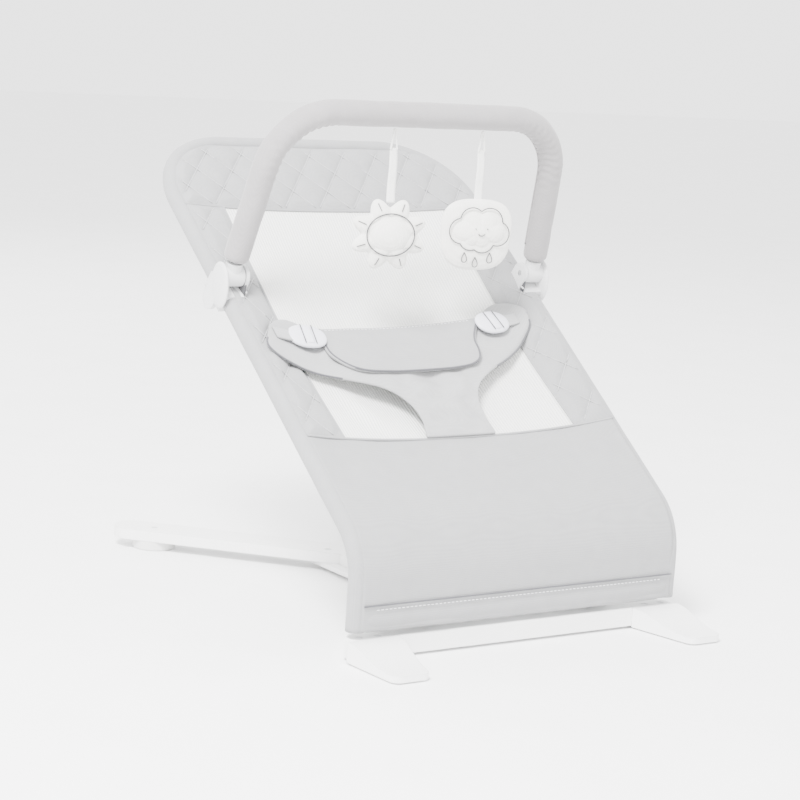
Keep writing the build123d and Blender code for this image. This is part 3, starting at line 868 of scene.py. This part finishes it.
def bar_radius(t, a):
    """Padded sleeve: wrinkles bunch up on the inside of the two corners and it closes at its ends."""
    i = int(t * (len(bar_points) - 1))
    point = bar_points[i]
    corner = smoothstep(0.100, 0.140, abs(point.x))
    corner *= smoothstep(bar_centre_height - 0.03, bar_centre_height + 0.02, point.z)
    inside = 0.5 - 0.5 * math.cos(a)
    bunch = 0.0019 * corner * inside * math.sin(t * 420 + 2.2 * math.sin(3 * a))
    soft = 0.0007 * ripple((30 * t, math.cos(a), math.sin(a)), 1.0, 2.0)
    ends = smoothstep(0, 0.012, min(t, 1 - t) + 0.004)
    return (BAR_R + bunch + soft) * lerp(0.72, 1.0, ends)


bar_sleeve = tube(
    "bar_sleeve", bar_points, bar_radius, BAR, "toy_bar",
    around=28, levels=1, side=Vector((1, 0, 0)).cross(BAR_LEG),
)
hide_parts("toy_bar_sleeve")
bar_normal = Vector((1, 0, 0)).cross(BAR_LEG).normalized()
bar_middle = on_bar(0, BAR_HEIGHT - BAR_CORNER)
inner_line = []
for before, p, after in zip(bar_points[3:], bar_points[4:], bar_points[5:-4]):
    inward = (after - before).cross(bar_normal).normalized()
    if inward.dot(bar_middle - p) < 0:
        inward = -inward
    inner_line.append(p + inward * (BAR_R * 0.93) - bar_normal * (BAR_R * 0.36))
seam_line("bar_seam", inner_line, 0.0011, BAR, "toy_bar")

# clips: a smooth plate outside each, an open ribbed one inside, where a dark dome paints the shade in its
# hollow
for side, sign in (("left", -1), ("right", 1)):

    def clip_place(x, y, out, sign=sign, away=0.0135):
        return Vector((sign * (RAIL_X + away) + sign * out, pivot.y + x, pivot.z - 0.009 + y))

    dome(f"clip_plate_{side}", oval(0.034, 0.050, 60, 2.2), 0.0036, 0.0040, clip_place,
         CLIP, "seat", rings=6, power=0.4)

    def inner_place(x, y, out, sign=sign):
        return Vector((sign * (RAIL_X - 0.0135) - sign * out, pivot.y + x, pivot.z - 0.006 + y))

    # painted shade: a dark dome stands in for the shade in the open hollow behind the ribs
    dome(f"clip_hollow_shade_{side}", oval(0.018, 0.034, 40, 2.6), 0.0016, 0.0030, inner_place,
         THREAD, "seat", rings=5, power=0.3)
    for k, low in enumerate((-0.011, -0.003, 0.005)):
        rib = [inner_place(-0.008 + 0.016 * i / 6, low + 0.008 * i / 6, 0.0014) for i in range(7)]
        seam_line(f"clip_rib_{side}_{k + 1}", rib, 0.0010, CLIP, "seat")

# ---------------------------------------------------------------- toys
toy_line = on_bar(0, BAR_HEIGHT)


def toy_place(x0, yaw, tilt=0.0):
    """Turns a flat toy's own (x, y, out) into a point; it hangs turned by yaw about its ribbon."""
    c, s = math.cos(yaw), math.sin(yaw)

    def place(x, y, out):
        return Vector((x0 + x * c + out * s, toy_line.y - out * c + x * s, TOY_Z + y))

    return place


def thread_loop(name, points, place, body, radius=0.0006, material=THREAD):
    return seam_line(name, [place(x, y, out) for x, y, out in points], radius, material, body)


sun_place = toy_place(SUN_X, math.radians(-14))
sun_outline = []
for i in range(128):
    a = 2 * math.pi * i / 128
    ray = (0.5 + 0.5 * math.cos(8 * (a - math.pi / 8))) ** 0.75
    r = 0.0290 + 0.0115 * ray
    sun_outline.append((r * 1.10 * math.cos(a), r * math.sin(a)))
sun = dome("sun_plush", sun_outline, 0.0080, 0.0075, sun_place, PLUSH, "sun", rings=8)
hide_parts("sun_toy")


sun_face = dome("sun_face", oval(0.054, 0.045), 0.0118, -0.001, sun_place,
                PLUSH, "sun", rings=7)
ring_angles = [2 * math.pi * i / 64 for i in range(65)]
ring = [(0.0272 * math.cos(a), 0.0227 * math.sin(a), 0.0074) for a in ring_angles]
thread_loop("sun_ring", ring, sun_place, "sun", 0.0007)
for k in range(8):
    a = math.pi / 8 + k * math.pi / 4
    line = [(r * 1.10 * math.cos(a), r * math.sin(a), lerp(0.0068, 0.0042, t))
            for t, r in [(i / 6, lerp(0.0275, 0.0360, i / 6)) for i in range(7)]]
    thread_loop(f"sun_ray_{k + 1}", line, sun_place, "sun", 0.0005)

cloud_place = toy_place(CLOUD_X, math.radians(-14))
tapered = [(x * (1 + 1.4 * y), y) for x, y in oval(0.084, 0.079, 96, 2.9)]
cloud_body = dome("cloud_plush", tapered, 0.0080, 0.0075, cloud_place, PLUSH, "cloud", rings=8)
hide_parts("cloud_toy")
LOBES = [
    (-0.021, 0.000, 0.0140), (-0.009, 0.012, 0.0140), (0.011, 0.011, 0.0150),
    (0.021, -0.002, 0.0135), (-0.010, -0.008, 0.0130), (0.004, -0.010, 0.0135),
]  # x, y and radius of each round lobe


def cloud_edge(a):
    """Distance from the middle to the cloud's edge in direction a: the furthest of its round lobes."""
    reach = 0.0
    for x, y, r in LOBES:
        along = x * math.cos(a) + y * math.sin(a)
        off = x * math.sin(a) - y * math.cos(a)
        if abs(off) < r:
            reach = max(reach, along + math.sqrt(r * r - off * off))
    return reach


cloud_angles = [2 * math.pi * i / 120 for i in range(120)]
cloud_outline = [(cloud_edge(a) * math.cos(a) * 1.02, cloud_edge(a) * math.sin(a)) for a in cloud_angles]


def cloud_face_place(x, y, out):
    return cloud_place(x + 0.001, y + 0.004, out)



cloud_face = dome("cloud_face", cloud_outline, 0.0118, -0.0035, cloud_face_place,
                  PLUSH, "cloud", rings=7)
cloud_line = [(x, y, 0.0080) for x, y in cloud_outline + cloud_outline[:1]]
thread_loop("cloud_ring", cloud_line, cloud_face_place, "cloud", 0.0006)
for k, x in enumerate((-0.006, 0.008)):
    dome(f"cloud_eye_{k + 1}", oval(0.0022, 0.0026, 14), 0.0138, -0.009,
         lambda u, v, out, x=x: cloud_face_place(x + u, 0.003 + v, out),
         THREAD, "cloud", rings=4, levels=0)
smile_angles = [math.pi * (1.15 + 0.7 * i / 12) for i in range(13)]
smile = [(0.001 + 0.0042 * math.cos(a), -0.0005 + 0.0040 * math.sin(a), 0.0126) for a in smile_angles]
thread_loop("cloud_smile", smile, cloud_face_place, "cloud", 0.0005)
for k, (x, y) in enumerate(((-0.015, -0.025), (-0.002, -0.030), (0.015, -0.025))):
    drop = []
    for i in range(25):
        a = 2 * math.pi * i / 24
        pinch = math.sin(a / 2) ** 1.3
        drop.append((x + 0.0042 * math.sin(a) * pinch, y + 0.0055 * math.cos(a), 0.0070))
    thread_loop(f"rain_drop_{k + 1}", drop, cloud_place, "cloud", 0.0005)

HANG_TOP = toy_line.z - BAR_R - 0.0015
LOOP_LENGTH = 0.020
RIBBON_HALF = 0.0048
RIBBON_LOW = TOY_Z + 0.034
TOY_YAW = math.radians(-14)
for toy, x0 in (("sun", SUN_X), ("cloud", CLOUD_X)):

    def ribbon_point(row, column, lift, x0=x0):
        turn = TOY_YAW * (1 - row)
        x = lerp(-RIBBON_HALF, RIBBON_HALF, column)
        sway = 0.0006 * math.sin(7 * row)
        across, depth = math.cos(turn), math.sin(turn)
        z = lerp(RIBBON_LOW, HANG_TOP - LOOP_LENGTH, row)
        return Vector((x0 + x * across + lift * depth, toy_line.y + x * depth - lift * across + sway, z))

    ribbon = slab(f"{toy}_tape", lambda i, j: ribbon_point(i, j, 0.0006),
                  lambda i, j: ribbon_point(i, j, -0.0006),
                  26, 5, TAPE, toy)
    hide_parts(f"{toy}_ribbon")
    peak = Vector((x0, toy_line.y, HANG_TOP + 0.0070))
    corners = [peak + Vector((side * RIBBON_HALF * 0.86, 0, -LOOP_LENGTH - 0.009)) for side in (-1, 1)]
    loop_route = rounded([corners[0], peak, corners[1]], (0.0012,), 0.0012)
    loop = tube(f"{toy}_loop_cord", loop_route, lambda t, a: 0.0011, TAPE, toy, around=10)
    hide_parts(f"{toy}_loop")
